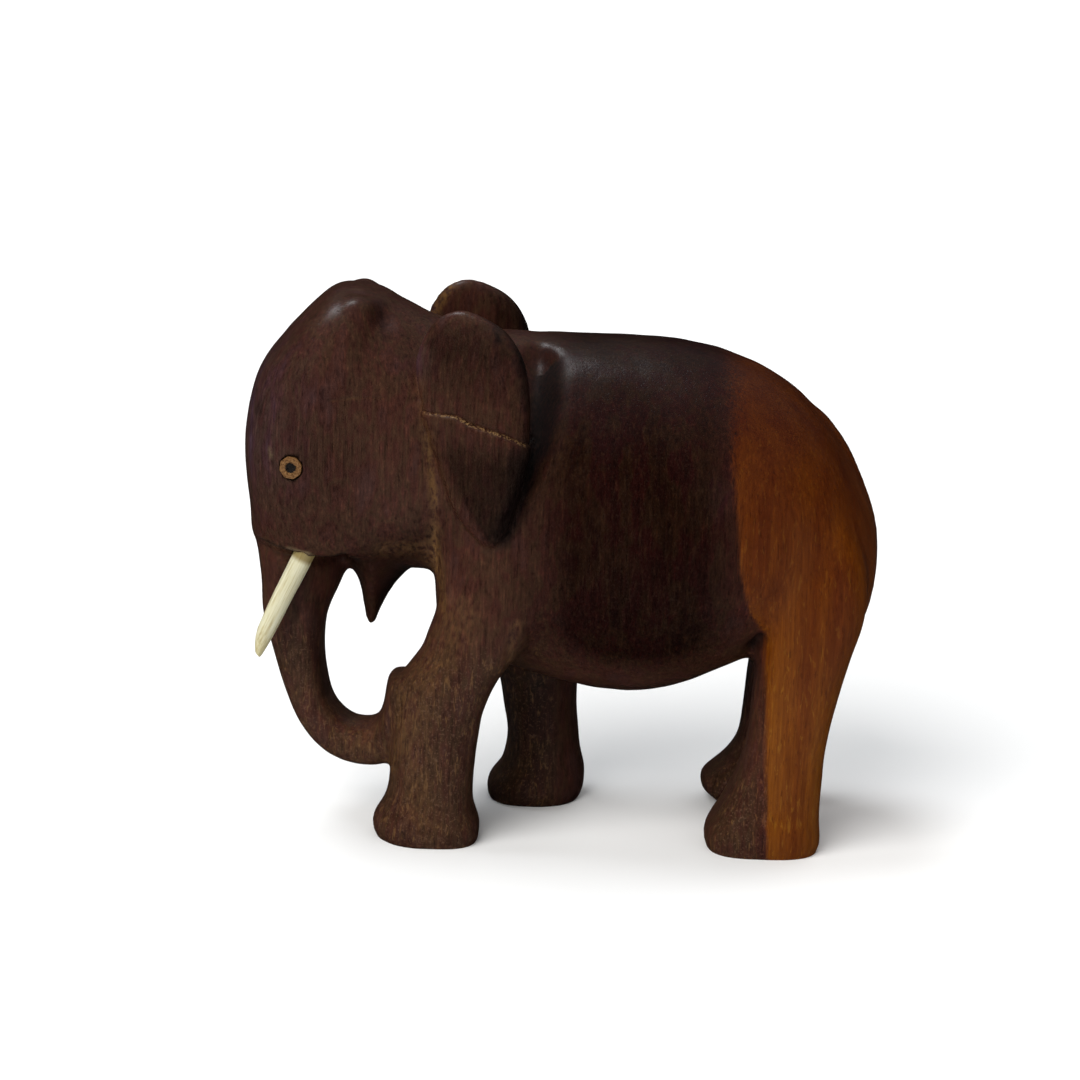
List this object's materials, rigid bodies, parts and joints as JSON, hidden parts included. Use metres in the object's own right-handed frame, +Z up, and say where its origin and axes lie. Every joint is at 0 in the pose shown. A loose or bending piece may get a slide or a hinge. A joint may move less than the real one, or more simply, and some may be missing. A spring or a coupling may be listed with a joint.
{
  "type": "elephant figurine",
  "caption": "Standing elephant carved from dark hardwood in a walking pose, with the trunk curled back to a front leg, leaf-shaped ears, bone tusks and peg eyes.",
  "frame": {"origin": "middle of the object's box at floor level, in the plane of the four soles", "axes": "+Z up; -X towards the face and +X towards the rump; -Y towards the elephant's left side, the side in the picture"},
  "size_m": [0.1748, 0.073, 0.15],
  "materials": {
    "carved_wood": "waxed satin",
    "bone": "smooth satin",
    "peg_wood": "waxed satin"
  },
  "bodies": {
    "root": {"elephant": "carved_wood", "tusk_left": "bone", "tusk_right": "bone", "eye_left": "peg_wood", "eye_right": "peg_wood"}
  },
  "joints": []
}
